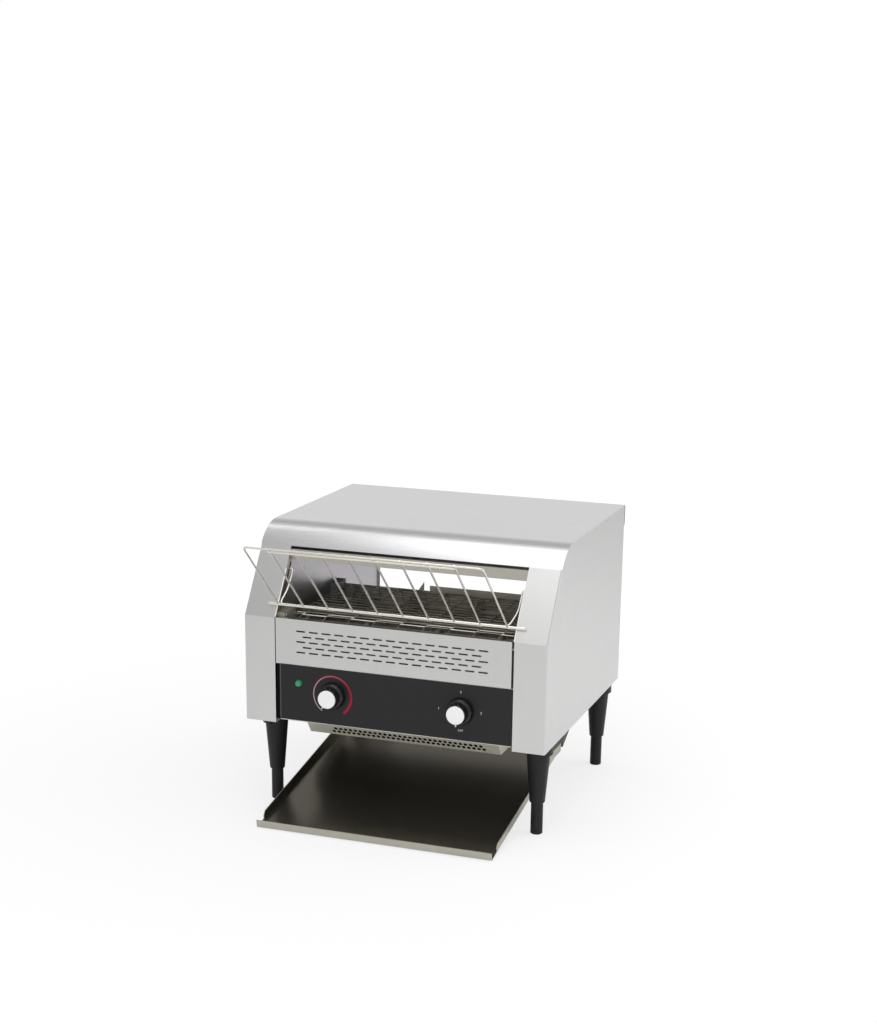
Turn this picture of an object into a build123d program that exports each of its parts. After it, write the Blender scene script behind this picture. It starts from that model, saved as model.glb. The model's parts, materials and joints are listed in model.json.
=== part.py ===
"""Conveyor toaster, one STEP file for each subcomponent."""
import math
import os

from build123d import *

os.makedirs("parts", exist_ok=True)

# Millimetres. x runs to the right, y to the back, z up from the floor.
# While drawing, y = 0 is the front face of the cheeks; place() moves it all to the shared frame.

# Body
body_width = 468.0
body_depth = 418.0
body_height = 286.0
sheet = 1.2
leg_height = 141.0
cheek_width = 49.0
bend_drop = 0.5
slant_angle = 56.5
crown_radius = 65.0
corner_radius = 2.5
rear_rim = 14.0
cover_overhang = 4.0
cover_lip = 32.0
seat = 0.3
fit = 0.05

# Front panels, base and deck: heights are stacked one on the other
base_rise = 6.0
base_rear_gap = 118.0
base_rim = 10.0
panel_height = 86.0
panel_gap_left = 8.0
panel_gap_right = 1.0
panel_hem = 14.0
slot_panel_height = 70.0
slot_panel_gap_left = 1.4
slot_panel_gap_right = 3.4
slot_length = 14.5
slot_height = 2.5
slot_pitch = 20.2
slot_shift = -1.9
slot_columns = 15
slot_row_pitch = 8.0
slot_top_margin = 17.5
slot_rows = 5
baffle_setback = 5.0

# Rear
rear_opening_margin = 3.0
rear_opening_rise = 13.0
rear_opening_drop = 92.0
chute_gap = 12.0
chute_lip = 9.0
chute_lip_shift = -37.0
slide_gap = 1.0
slide_drop = 8.0

# Vent pan under the base
pan_inset = 33.0
pan_depth = 32.4
pan_front_bottom_y = 54.2
pan_lean = 54.4
pan_rear_gap = 100.0
pan_flange = 8.0
vent_hole = 6.0
vent_pitch = 7.95
vent_columns = 31
vent_row_gap = 7.0

# Conveyor
belt_gap_left = 15.0
belt_gap_right = 5.0
belt_spaces = 9
belt_strands = 35
belt_wire = 1.4
belt_front = 10.0
belt_rear_gap = 50.0
turn_outer = 22.0
strand_gap = 0.3
shaft_radius = 4.0
wheel_radius = 20.2
wheel_sides = 9
wheel_width = 6.0
wheel_hub = 8.0
wheel_inset = 25.0
wheel_middle = 55.0
bracket_width = 12.5
bracket_below = 19.0
bracket_above = 28.0
bush_width = 3.6
bush_radius = 14.0

# Drive
motor_ahead = 38.0
motor_rise = 41.8
motor_radius = 26.0
motor_length = 62.0
gearbox_length = 34.0
gearbox_reach = 32.0
motor_teeth = 12
drive_teeth = 18
chain_pitch = 6.35
chain_gap = 0.4
chain_depth = 5.0
chain_width = 4.4
chain_outside = 18.0

# Heat
element_radius = 4.0
upper_element_drop = 50.0
upper_element_count = 4
upper_element_front = 95.0
upper_element_rear_gap = 20.0
lower_element_count = 3
lower_element_front = 80.0
lower_element_rear_gap = 48.0
insulator_radius = 7.0
insulator_length = 7.0
reflector_front = 60.0
reflector_overrun = 18.0
reflector_drop = 33.0
apron_height = 16.0

# Feed rack
rack_wire = 1.5
rack_rod = 2.25
rack_rod_overlap = 13.0
rack_seat_rise = 17.5
rack_angle = 43.0
rack_length = 162.0
rack_wires = 10
rack_margin = 9.5
rack_shift = -5.5
hook_y = 55.0
hook_rise = 45.0
hook_inset = 6.0
hook_slack = 0.6
hook_slot_below = 27.0
rack_travel = 10.0

# Tray and its hangers
tray_slope = 9.9
tray_side_gap = 2.0
tray_front_y = -76.7
tray_front_z = 1.2
tray_rear_gap = 146.0
tray_rim = 11.6
tray_rim_start = 24.0
hanger_side_gap = 10.0
hanger_front_gap = 150.0
hanger_foot_gap = 64.0
hanger_drop = 56.5
rail_width = 7.5
rail_rise = 1.5
runner_height = 3.5
runner_length = 120.0
runner_rear_gap = 7.0
runner_tie = 60.0

# Legs
leg_inset = 25.0
leg_front_y = 55.0
leg_rear_gap = 28.0
leg_flange_radius = 21.5
leg_flange = 17.0
leg_top_radius = 17.5
leg_foot_radius = 11.3
leg_exposed = 49.0
foot_radius = 9.05
foot_engaged = 25.0
foot_travel = 38.0
stud_radius = 4.0

# Controls: insets from the bay's sides and drops from the panel's top
lamp_inset, lamp_drop = 38.0, 27.0
speed_inset, speed_drop = 92.0, 40.0
selector_inset, selector_drop = 78.8, 40.7
lamp_radius = 5.5
lens_front = 4.0
spindle_radius = 3.0
bushing_radius = 4.5
nut_radius = 7.5
nut_height = 2.5
control_radius = 12.0
control_depth = 14.8
switch_half = 21.0
switch_depth = 32.8
knob_gap = 1.5
knob_skirt_radius = 19.5
knob_grip_radius = 15.5
knob_cap_radius = 14.5
knob_face = 24.0
knob_skirt_depth = 8.0
knob_cap_depth = 7.0

# Electrics in the base
board_width, board_depth, board_thick = 100.0, 80.0, 1.6
board_stand = 10.0
board_left, board_front = -60.0, 60.0
board_post_inset = 6.0
board_post_radius = 3.0
terminal_width, terminal_depth, terminal_height = 70.0, 25.0, 22.0
terminal_inset = 95.0
terminal_rear_gap = 60.0
terminal_ways = 5

# Rear cable entry
gland_inset = 27.0
gland_rise = 53.0
gland_bore = 4.0
gland_thread = 8.0
gland_flange = 12.0
gland_reach = 15.0

screw_radius = 4.0
screw_height = 2.2

# Widths and depths that follow
half_body = body_width / 2
half_bay = half_body - cheek_width
hanger_x = half_bay + hanger_side_gap
tray_half = half_bay - tray_side_gap
hook_half = half_bay - hook_inset
rack_rod_half = half_bay + rack_rod_overlap
rack_pitch = 2 * (half_bay - rack_margin) / (rack_wires - 1)
rear_opening_half = half_bay - rear_opening_margin
half_pan = half_bay - pan_inset
belt_left = belt_gap_left - half_bay
belt_right = half_bay - belt_gap_right
sprocket_x = -half_bay - chain_outside
gland_x = half_body - gland_inset
base_depth = body_depth - base_rear_gap
belt_rear = base_depth - belt_rear_gap
pan_rear = base_depth - pan_rear_gap
hanger_rear = base_depth
hanger_front = hanger_rear - hanger_front_gap
hanger_foot = hanger_rear - hanger_foot_gap
leg_rear_y = body_depth - leg_rear_gap
tray_rear_y = body_depth - tray_rear_gap
runner_rear = tray_rear_y - runner_rear_gap
rear_inside = body_depth - 2 * sheet
front_axle_y = belt_front + turn_outer
rear_axle_y = belt_rear - turn_outer
motor_y = rear_axle_y - motor_ahead
chute_lip_y = belt_rear + chute_gap
reflector_rear = belt_rear + reflector_overrun
slide_foot = tray_rear_y + slide_gap

# Heights that follow
cheek_bottom = leg_height
body_top = cheek_bottom + body_height
base_height = cheek_bottom + base_rise
base_top = base_height + sheet
panel_top = base_height + panel_height
deck_top = panel_top + sheet
slot_panel_top = panel_top + slot_panel_height
cheek_bend = slot_panel_top - bend_drop
belt_top = slot_panel_top
axle_z = belt_top - turn_outer
slot_top_row = slot_panel_top - slot_top_margin
chute_lip_top = belt_top + chute_lip / 3
chute_top = chute_lip_top - chute_lip
rear_opening_bottom = base_height + rear_opening_rise
rear_opening_top = body_top - rear_opening_drop
slide_head = cheek_bottom - slide_drop
hanger_bottom = cheek_bottom - hanger_drop
pan_bottom = base_height - pan_depth
motor_z = base_top + motor_rise
upper_element_z = body_top - upper_element_drop
reflector_top = body_top - reflector_drop
rack_seat_z = cheek_bend + rack_seat_rise
hook_z = rack_seat_z + hook_rise
gland_z = base_height + gland_rise

slant_cos = math.cos(math.radians(slant_angle))
slant_sin = math.sin(math.radians(slant_angle))
crown_z = body_top - crown_radius
seam_z = crown_z + crown_radius * slant_cos
seam_y = (seam_z - cheek_bend) * slant_cos / slant_sin
crown_y = seam_y + crown_radius * slant_sin
motor_sprocket_radius = motor_teeth * chain_pitch / (2 * math.pi)
drive_sprocket_radius = drive_teeth * chain_pitch / (2 * math.pi)

# Where the rack rests: the thick rod lies just off the slanted cheeks.
rack_stand = rack_rod + seat
rack_y = (rack_seat_z - cheek_bend) * slant_cos / slant_sin - rack_stand * slant_sin
rack_z = rack_seat_z + rack_stand * slant_cos
rack_top_y = rack_y - rack_length * math.cos(math.radians(rack_angle))
rack_top_z = rack_z + rack_length * math.sin(math.radians(rack_angle))

front_most = rack_top_y - rack_wire
rear_most = body_depth - sheet + gland_reach
middle = (front_most + rear_most) / 2


def place(shape):
    """Move a finished shape to the shared frame."""
    return Pos(0, -middle, 0) * shape


def save(name, shape):
    export_step(place(shape), f"parts/{name}.step")


def block(x, y, z):
    """Box from three (low, high) pairs."""
    centre = Pos((x[0] + x[1]) / 2, (y[0] + y[1]) / 2, (z[0] + z[1]) / 2)
    return centre * Box(x[1] - x[0], y[1] - y[0], z[1] - z[0])


def rod(start, end, radius, end_radius=None):
    """Cylinder, or cone when an end radius is given, between two points."""
    a, b = Vector(*start), Vector(*end)
    low = (Align.CENTER, Align.CENTER, Align.MIN)
    length = (b - a).length
    if end_radius is None:
        body = Cylinder(radius, length, align=low)
    else:
        body = Cone(radius, end_radius, length, align=low)
    return Plane(origin=a, z_dir=b - a) * body


def along_x(face, x0, x1):
    """Extrude a side-view face from x0 to x1."""
    return extrude(Plane.YZ.offset(x0) * face, x1 - x0)


def polygon(*points):
    return make_face(Polyline(*points, points[0]).edges())


def strip(points, thick=sheet):
    """Side view of a bent sheet: its outer face follows the points, the sheet lies to their left."""
    outer = [Vector(*p) for p in points]
    steps = [(b - a).normalized() for a, b in zip(outer, outer[1:])]
    normals = [Vector(-d.Y, d.X) for d in steps]
    inner = []
    for i, p in enumerate(outer):
        n0 = normals[max(i - 1, 0)]
        n1 = normals[min(i, len(normals) - 1)]
        inner.append(p + (n0 + n1) * (thick / (1 + n0.dot(n1))))
    return polygon(*outer, *reversed(inner))


def both(shape):
    """A shape and its mirror image on the other side."""
    return shape + mirror(shape, about=Plane.YZ)


def spread(first, last, count):
    """Evenly spaced places from the first to the last."""
    return [first + (last - first) * i / (count - 1) for i in range(count)]


# ---------------------------------------------------------------- body sheets
def bend_point(inset):
    return inset, cheek_bend - inset * (1 - slant_sin) / slant_cos


def seam_point(inset):
    r = crown_radius - inset
    return crown_y - r * slant_sin, crown_z + r * slant_cos


def crown_arc(inset):
    r = crown_radius - inset
    half_turn = math.radians(90 + slant_angle / 2)
    mid = crown_y + r * math.cos(half_turn), crown_z + r * math.sin(half_turn)
    return ThreePointArc(seam_point(inset), mid, (crown_y, body_top - inset))


def side_face(inset, rear, bottom):
    """Side view of the body, drawn inside the outer one by the inset."""
    lower = Polyline((rear, bottom), (inset, bottom), bend_point(inset), seam_point(inset))
    upper = Polyline((crown_y, body_top - inset), (rear, body_top - inset), (rear, bottom))
    return make_face([*lower.edges(), *crown_arc(inset).edges(), *upper.edges()])


def cheek_block(inset, x0, x1, radius):
    """Solid filling of a cheek, its outer front corner rounded below the cover seam."""
    low = cheek_bottom + inset
    front = along_x(
        polygon((inset, low), bend_point(inset), seam_point(inset), (crown_y, crown_z), (crown_y, low)),
        x0,
        x1,
    )
    back = along_x(side_face(inset, body_depth - inset, low), x0, x1) - front
    outer_edges = front.edges().filter_by_position(Axis.X, x1 - 0.01, x1 + 0.01).sort_by(Axis.Y)
    return fillet(outer_edges[:2], radius) + back


rear_edge = body_depth + cover_overhang
lip_inside = rear_edge - sheet
cover_rest = Polyline(
    (crown_y, body_top),
    (rear_edge, body_top),
    (rear_edge, body_top - cover_lip),
    (lip_inside, body_top - cover_lip),
    (lip_inside, body_top - sheet),
    (crown_y, body_top - sheet),
)
cover_front = Polyline(seam_point(sheet), seam_point(0))
cover_face = make_face(
    [
        *crown_arc(0).edges(),
        *cover_rest.edges(),
        *crown_arc(sheet).edges(),
        *cover_front.edges(),
    ]
)
top_cover = along_x(cover_face, -half_body, half_body)
save("top_cover", top_cover)

leg_x = half_body - leg_inset
leg_spots = {
    "front_left": (-leg_x, leg_front_y),
    "front_right": (leg_x, leg_front_y),
    "rear_left": (-leg_x, leg_rear_y),
    "rear_right": (leg_x, leg_rear_y),
}

cheek = cheek_block(0, half_bay, half_body, corner_radius)
cheek -= cheek_block(sheet, half_bay - 1, half_body - sheet, corner_radius - sheet)
cheek -= top_cover
cheek -= block(
    (half_bay - 1, half_body - rear_rim),
    (body_depth - sheet, body_depth),
    (cheek_bottom + sheet, body_top),
)
for leg_y in (leg_front_y, leg_rear_y):
    cheek -= rod(
        (leg_x, leg_y, cheek_bottom - 1),
        (leg_x, leg_y, cheek_bottom + sheet + 1),
        stud_radius + seat,
    )
save("right_side_panel", cheek)
save("left_side_panel", mirror(cheek, about=Plane.YZ))

# Inner walls, with holes for the axles, heating tubes and rack hooks
upper_elements = spread(upper_element_front, belt_rear - upper_element_rear_gap, upper_element_count)
lower_elements = spread(lower_element_front, rear_axle_y - lower_element_rear_gap, lower_element_count)
wall = along_x(side_face(sheet, rear_inside, cheek_bottom + sheet), half_bay, half_bay + sheet)
wall_span = (half_bay - 1, half_bay + sheet + 1)
for tube_y in upper_elements:
    wall -= rod(
        (wall_span[0], tube_y, upper_element_z),
        (wall_span[1], tube_y, upper_element_z),
        element_radius + seat,
    )
for tube_y in lower_elements:
    wall -= rod((wall_span[0], tube_y, axle_z), (wall_span[1], tube_y, axle_z), element_radius + seat)
slot_width = 2 * (rack_wire + hook_slack)
slot_middle = (rack_travel - hook_slot_below) / 2
slot_mid_y = hook_y + slant_cos * slot_middle
slot_mid_z = hook_z + slant_sin * slot_middle
slot_plane = Plane(
    origin=(wall_span[0], slot_mid_y, slot_mid_z),
    x_dir=(0, slant_cos, slant_sin),
    z_dir=(1, 0, 0),
)
hook_slot = SlotOverall(rack_travel + hook_slot_below + slot_width, slot_width)
wall -= extrude(slot_plane * hook_slot, sheet + 2)
axle_hole = shaft_radius + 2
for axle_y in (front_axle_y, rear_axle_y):
    wall -= rod((wall_span[0], axle_y, axle_z), (wall_span[1], axle_y, axle_z), axle_hole)
save("right_inner_wall", wall)
left_wall = mirror(wall, about=Plane.YZ)
left_wall -= rod((-wall_span[0], motor_y, motor_z), (-wall_span[1], motor_y, motor_z), axle_hole)
save("left_inner_wall", left_wall)

inside = half_body - sheet
rear_panel = block((-inside, inside), (rear_inside, rear_inside + sheet), (cheek_bottom + sheet, body_top - sheet))
rear_panel -= block(
    (-rear_opening_half, rear_opening_half),
    (rear_inside - 1, body_depth),
    (rear_opening_bottom, rear_opening_top),
)
gland_hole = gland_thread + seat
rear_panel -= rod((gland_x, rear_inside - 1, gland_z), (gland_x, body_depth, gland_z), gland_hole)
save("rear_panel", rear_panel)

# ---------------------------------------------------------------- base, deck and front panels
base_plate = block((-half_bay, half_bay), (0, base_depth), (base_height, base_top))
base_plate += both(
    block((half_bay - sheet, half_bay), (panel_hem + 4, base_depth - 4), (base_top, base_top + base_rim))
)
save("base_plate", base_plate)


def chute_y(z):
    """Rear face of the chute at a height."""
    return base_depth - (z - base_top) * (base_depth - chute_lip_y - 2) / (chute_top - base_top)


deck_rear = chute_y(deck_top) - 2 * sheet
heat_deck = block((-half_bay, half_bay), (sheet, deck_rear), (panel_top, deck_top))
save("heat_deck", heat_deck)

panel_left = -half_bay + panel_gap_left
panel_right = half_bay - panel_gap_right
control_profile = strip(
    [(panel_hem, panel_top), (0, panel_top), (0, base_top), (panel_hem, base_top)]
)
control_panel = along_x(control_profile, panel_left, panel_right)
control_panel += block((panel_left, panel_left + sheet), (0, panel_hem), (base_top, panel_top))
lamp_x, lamp_z = lamp_inset - half_bay, panel_top - lamp_drop
speed_x, speed_z = speed_inset - half_bay, panel_top - speed_drop
selector_x, selector_z = half_bay - selector_inset, panel_top - selector_drop
for hole_x, hole_z in ((lamp_x, lamp_z), (speed_x, speed_z), (selector_x, selector_z)):
    control_panel -= rod((hole_x, -1, hole_z), (hole_x, sheet + 1, hole_z), bushing_radius + fit)
save("control_panel", control_panel)

slot_left = -half_bay + slot_panel_gap_left
slot_right = half_bay - slot_panel_gap_right
slot_hem = baffle_setback + sheet + 2
slot_profile = strip(
    [(slot_hem, slot_panel_top), (0, slot_panel_top), (0, deck_top), (slot_hem + 4, deck_top)]
)
slotted_panel = along_x(slot_profile, slot_left, slot_right)
slot_bottom_row = slot_top_row - (slot_rows - 1) * slot_row_pitch
slot_first_x = slot_shift - (slot_columns - 1) / 2 * slot_pitch
slot_cut = (slot_length - slot_height) / 2
slot_end = RegularPolygon(slot_height / 2, 8, rotation=22.5)
slot_face = make_hull([*(Pos(slot_cut, 0) * slot_end).edges(), *(Pos(-slot_cut, 0) * slot_end).edges()])
slots = Sketch()
for row in range(slot_rows):
    staggered = row % 2
    for column in range(slot_columns - staggered):
        slot_x = slot_first_x + (column + staggered / 2) * slot_pitch
        slot_z = slot_top_row - row * slot_row_pitch
        slots += Pos(slot_x, slot_z) * slot_face
slotted_panel -= extrude(Plane.XZ.offset(1) * slots, -(sheet + 2))
save("slotted_front_panel", slotted_panel)

baffle_left = slot_first_x + slot_length / 2 + 1
baffle_top = slot_panel_top - sheet
baffle_bottom = slot_bottom_row + slot_row_pitch / 2
baffle_profile = strip(
    [(baffle_setback + sheet, baffle_bottom), (baffle_setback + sheet, baffle_top), (sheet, baffle_top)]
)
save("inner_vent_baffle", along_x(baffle_profile, baffle_left, slot_right - 1))

# ---------------------------------------------------------------- vent pan
pan_rise = base_height - pan_bottom
pan_front_top_y = pan_front_bottom_y - pan_rise / math.tan(math.radians(pan_lean))
pan_points = [
    (pan_rear, base_height),
    (pan_rear, pan_bottom),
    (pan_front_bottom_y, pan_bottom),
    (pan_front_top_y, base_height),
]
pan_skin = along_x(strip(list(reversed(pan_points))), -half_pan, half_pan)
pan_side = along_x(polygon(*pan_points), half_pan - sheet, half_pan)
pan_side += block(
    (half_pan, half_pan + pan_flange),
    (pan_front_bottom_y, pan_rear),
    (base_height - sheet, base_height),
)
vent_pan = pan_skin + both(pan_side)
vent_pan -= block((-half_body, half_body), (0, body_depth), (base_height, base_top))
pan_down = Vector(0, math.cos(math.radians(pan_lean)), -math.sin(math.radians(pan_lean)))
pan_out = Vector(0, -math.sin(math.radians(pan_lean)), -math.cos(math.radians(pan_lean)))
vent_centre = Vector(vent_pitch, pan_front_bottom_y, pan_bottom) - pan_down * (1.6 * vent_row_gap)
vent_cut = extrude(RegularPolygon(vent_hole / 2, 10), 8)
for row in range(2):
    for column in range(vent_columns - row):
        offset_x = (column + row / 2 - (vent_columns - 1) / 2) * vent_pitch
        spot = vent_centre + Vector(offset_x, 0, 0) - pan_down * (row - 0.5) * vent_row_gap
        vent_pan -= Plane(origin=spot - pan_out * 4, x_dir=(1, 0, 0), z_dir=pan_out) * vent_cut
save("vent_pan", vent_pan)

# ---------------------------------------------------------------- hot chamber
reflector_profile = strip(
    [
        (reflector_rear, reflector_top - apron_height),
        (reflector_rear, reflector_top),
        (reflector_front, reflector_top),
        (reflector_front, reflector_top - apron_height),
    ]
)
save("upper_reflector", along_x(reflector_profile, -half_bay, half_bay))


def heater(rows, z):
    """Straight tubes from wall to wall and the insulators that carry their ends."""
    tubes, ends = [], []
    reach = half_bay + sheet + insulator_length
    for y in rows:
        tubes.append(rod((-reach, y, z), (reach, y, z), element_radius))
        ring = rod((half_bay + sheet, y, z), (reach, y, z), insulator_radius)
        ring -= rod((half_bay, y, z), (reach + 1, y, z), element_radius + fit)
        ends += [ring, mirror(ring, about=Plane.YZ)]
    return Compound(tubes), Compound(ends)


for level, rows, height in (("upper", upper_elements, upper_element_z), ("lower", lower_elements, axle_z)):
    tubes, ends = heater(rows, height)
    save(f"{level}_heating_elements", tubes)
    save(f"{level}_element_insulators", ends)

# Toast chute behind the belt, and the slide that turns the toast to the front
chute_foot = (base_depth, base_top)
chute_head = (chute_lip_y + 2, chute_top)
chute = along_x(strip([chute_foot, chute_head]), -half_bay, chute_lip_shift)
chute += along_x(strip([chute_foot, chute_head, (chute_lip_y, chute_lip_top)]), chute_lip_shift, half_bay)
tab_face = polygon((0, 0), (10, 0), (10, chute_lip_top - chute_top + 6))
tab = extrude(Plane.XZ * tab_face, -sheet)
chute += Pos(chute_lip_shift - 20, chute_lip_y + 1, chute_top - 1) * tab
chute -= base_plate
save("toast_chute", chute)

slide_low = tray_front_z + (tray_rear_y - tray_front_y) * math.tan(math.radians(tray_slope)) + fit
slide_top = rear_opening_bottom - 2
slide = along_x(
    strip([(slide_foot, slide_low), (rear_inside, slide_head), (rear_inside, slide_top)]),
    -half_bay,
    half_bay,
)
slide_side = polygon(
    (slide_foot, slide_low),
    (rear_inside, slide_head),
    (rear_inside, slide_top),
    (base_depth + 2, slide_top),
    (base_depth + 2, cheek_bottom),
    (slide_foot, hanger_bottom),
)
slide += both(along_x(slide_side, half_bay - sheet, half_bay))
save("rear_deflector", slide)

# ---------------------------------------------------------------- conveyor belt
turn_radius = turn_outer - belt_wire / 2
run = rear_axle_y - front_axle_y
turn = math.pi * turn_radius
belt_pitch = 2 * (run + turn) / belt_strands
belt_space = (belt_right - belt_left - belt_wire) / belt_spaces
strand_swing = (belt_pitch - belt_wire - strand_gap) / 2


def belt_station(s):
    """Point and outward direction (y, z) at a distance along the belt from the front of the top run."""
    back_half, s = divmod(s, run + turn)
    sign = -1 if back_half else 1
    start, end = (rear_axle_y, front_axle_y) if back_half else (front_axle_y, rear_axle_y)
    if s <= run:
        return start + sign * s, axle_z + sign * turn_radius, 0.0, sign
    angle = (s - run) / turn_radius
    out_y, out_z = sign * math.sin(angle), sign * math.cos(angle)
    return end + turn_radius * out_y, axle_z + turn_radius * out_z, out_y, out_z


strand_face = Sketch()
for k in range(belt_spaces):
    level = strand_swing if k % 2 else -strand_swing
    left = belt_left + belt_wire / 2 + k * belt_space
    strand_face += Pos(left + belt_space / 2, level) * Rectangle(belt_space + belt_wire, belt_wire)
    if k:
        strand_face += Pos(left, 0) * Rectangle(belt_wire, 2 * strand_swing + belt_wire)
strand = Pos(0, 0, -belt_wire / 2) * extrude(strand_face, belt_wire)
strands = []
for i in range(belt_strands):
    y, z, out_y, out_z = belt_station((i + 0.5) * belt_pitch)
    frame = Plane(origin=(0, y, z), x_dir=(1, 0, 0), z_dir=(0, out_y, out_z))
    strands.append(frame * strand)
save("conveyor_belt", Compound(strands))


belt_middle = (belt_left + belt_right) / 2
wheel_outer = (belt_right - belt_left) / 2 - wheel_inset


def axle(y, x0, x1):
    """Shaft with its belt wheels."""
    shape = rod((x0, y, axle_z), (x1, y, axle_z), shaft_radius)
    for x in (belt_middle + s for s in (-wheel_outer, -wheel_middle, wheel_middle, wheel_outer)):
        wheel = extrude(Plane.YZ * RegularPolygon(wheel_radius, wheel_sides), wheel_width / 2, both=True)
        wheel += rod((-wheel_width, 0, 0), (wheel_width, 0, 0), wheel_hub)
        shape += Pos(x, y, axle_z) * wheel
    return shape


right_end = half_bay + sheet + 2
save("idler_shaft", axle(front_axle_y, -right_end, right_end))
save("drive_shaft", axle(rear_axle_y, sprocket_x - chain_width, right_end))

bore_span = (half_bay - bracket_width - 1, half_bay + 1)
for end_name, axle_y, reach in (("front", front_axle_y, 23.0), ("rear", rear_axle_y, 17.0)):
    bracket = block(
        (-half_bay, -half_bay + bracket_width),
        (axle_y - reach, axle_y + 17),
        (axle_z - bracket_below, axle_z + bracket_above),
    )
    bracket -= rod((-bore_span[1], axle_y, axle_z), (-bore_span[0], axle_y, axle_z), shaft_radius + fit)
    save(f"{end_name}_left_bearing", bracket)
    bush = rod((half_bay - bush_width, axle_y, axle_z), (half_bay, axle_y, axle_z), bush_radius)
    bush -= rod((bore_span[0], axle_y, axle_z), (bore_span[1], axle_y, axle_z), shaft_radius + fit)
    save(f"{end_name}_right_bearing", bush)

# ---------------------------------------------------------------- drive
gearbox = block(
    (-half_bay, -half_bay + gearbox_length),
    (motor_y - gearbox_reach, motor_y + gearbox_reach),
    (base_top, motor_z + motor_radius + 4),
)
motor_end = -half_bay + gearbox_length + motor_length
gearbox += rod((-half_bay + gearbox_length, motor_y, motor_z), (motor_end, motor_y, motor_z), motor_radius)
gearbox -= base_plate
gearbox -= rod((-half_bay - 1, motor_y, motor_z), (-half_bay + 20, motor_y, motor_z), shaft_radius + fit)
save("gear_motor", gearbox)


def sprocket(radius, teeth):
    """Toothed wheel for the chain."""
    disc = Circle(radius)
    notch = chain_pitch / 4
    for i in range(teeth):
        turn_by = 2 * math.pi * i / teeth
        disc -= Pos(radius * math.cos(turn_by), radius * math.sin(turn_by)) * Circle(notch)
    return extrude(Plane.YZ * disc, chain_width / 4, both=True)


motor_sprocket = sprocket(motor_sprocket_radius, motor_teeth)
motor_sprocket += rod((-chain_width, 0, 0), (-half_bay + 18 - sprocket_x, 0, 0), shaft_radius)
save("motor_sprocket", Pos(sprocket_x, motor_y, motor_z) * motor_sprocket)
drive_sprocket = sprocket(drive_sprocket_radius, drive_teeth)
drive_sprocket += rod((-chain_width, 0, 0), (chain_width, 0, 0), shaft_radius + 4)
drive_sprocket -= rod((-chain_width - 1, 0, 0), (chain_width + 1, 0, 0), shaft_radius)
save("drive_sprocket", Pos(sprocket_x, rear_axle_y, axle_z) * drive_sprocket)


def chain_loop(gap):
    """Outline round both sprockets at a distance from their teeth."""
    low = Pos(motor_y, motor_z) * Circle(motor_sprocket_radius + gap)
    high = Pos(rear_axle_y, axle_z) * Circle(drive_sprocket_radius + gap)
    return make_hull([*low.edges(), *high.edges()])


chain = chain_loop(chain_gap + chain_depth) - chain_loop(chain_gap)
save("drive_chain", along_x(chain, sprocket_x - chain_width / 2, sprocket_x + chain_width / 2))

# ---------------------------------------------------------------- feed rack
thin_y = rack_y + slant_cos * (rack_rod + rack_wire - seat / 2)
thin_z = rack_z + slant_sin * (rack_rod + rack_wire - seat / 2)
loop_half = rack_pitch * (rack_wires - 1) / 2 + rack_wire
rack = rod((-rack_rod_half, rack_y, rack_z), (rack_rod_half, rack_y, rack_z), rack_rod)
rack += rod((rack_shift - loop_half, thin_y, thin_z), (rack_shift + loop_half, thin_y, thin_z), rack_wire)
rack += rod((rack_shift - loop_half, rack_top_y, rack_top_z), (rack_shift + loop_half, rack_top_y, rack_top_z), rack_wire)
brace_half = rack_pitch * (rack_wires - 3) / 2 + rack_wire
brace_drop = 1.7 * rack_wire
brace_y = rack_top_y + brace_drop * math.cos(math.radians(rack_angle))
brace_z = rack_top_z - brace_drop * math.sin(math.radians(rack_angle))
rack += rod((rack_shift - brace_half, brace_y, brace_z), (rack_shift + brace_half, brace_y, brace_z), rack_wire)
for i in range(rack_wires):
    wire_x = rack_shift + (i - (rack_wires - 1) / 2) * rack_pitch
    rack += rod((wire_x, rack_y, rack_z), (wire_x, rack_top_y, rack_top_z), rack_wire)
for side in (-1, 1):
    path = [
        (rack_shift + side * loop_half, thin_y, thin_z),
        (side * hook_half, hook_y - 21, hook_z - 27),
        (side * hook_half, hook_y - 5, hook_z - 8),
        (side * hook_half, hook_y, hook_z),
        (side * (half_bay + sheet + 3), hook_y, hook_z),
    ]
    for a, b in zip(path, path[1:]):
        rack += rod(a, b, rack_wire) + Pos(*a) * Sphere(rack_wire)
save("feed_rack", rack)

# ---------------------------------------------------------------- toast tray and hangers
slope_tan = math.tan(math.radians(tray_slope))
tray_length = (tray_rear_y - tray_front_y) / math.cos(math.radians(tray_slope))
tray_side = polygon(
    (tray_rim_start, 0),
    (tray_rim_start, tray_rim / 2),
    (tray_rim_start + tray_rim / 2, tray_rim),
    (tray_length, tray_rim),
    (tray_length, 0),
)
tray = along_x(strip([(0, tray_rim), (0, 0), (tray_length, 0)]), -tray_half, tray_half)
tray += both(along_x(tray_side, tray_half - sheet, tray_half))
tray = Pos(0, tray_front_y, tray_front_z) * Rot(tray_slope, 0, 0) * tray


def tray_rim_z(y):
    """Height of the tray's rim above the floor."""
    return tray_front_z + (y - tray_front_y) * slope_tan + tray_rim / math.cos(math.radians(tray_slope))


rail_height = hanger_bottom + rail_rise
rail_top = rail_height + sheet
runner = block(
    (tray_half, hanger_x - sheet - 2),
    (runner_rear - runner_length, runner_rear),
    (rail_top + seat, rail_top + seat + runner_height),
)
runner += block(
    (tray_half, tray_half + sheet),
    (runner_rear - runner_tie, runner_rear),
    (tray_rim_z(runner_rear - runner_tie) - tray_rim / 2, rail_top + seat + runner_height),
)
tray += both(runner)
save("toast_tray", tray)


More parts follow.
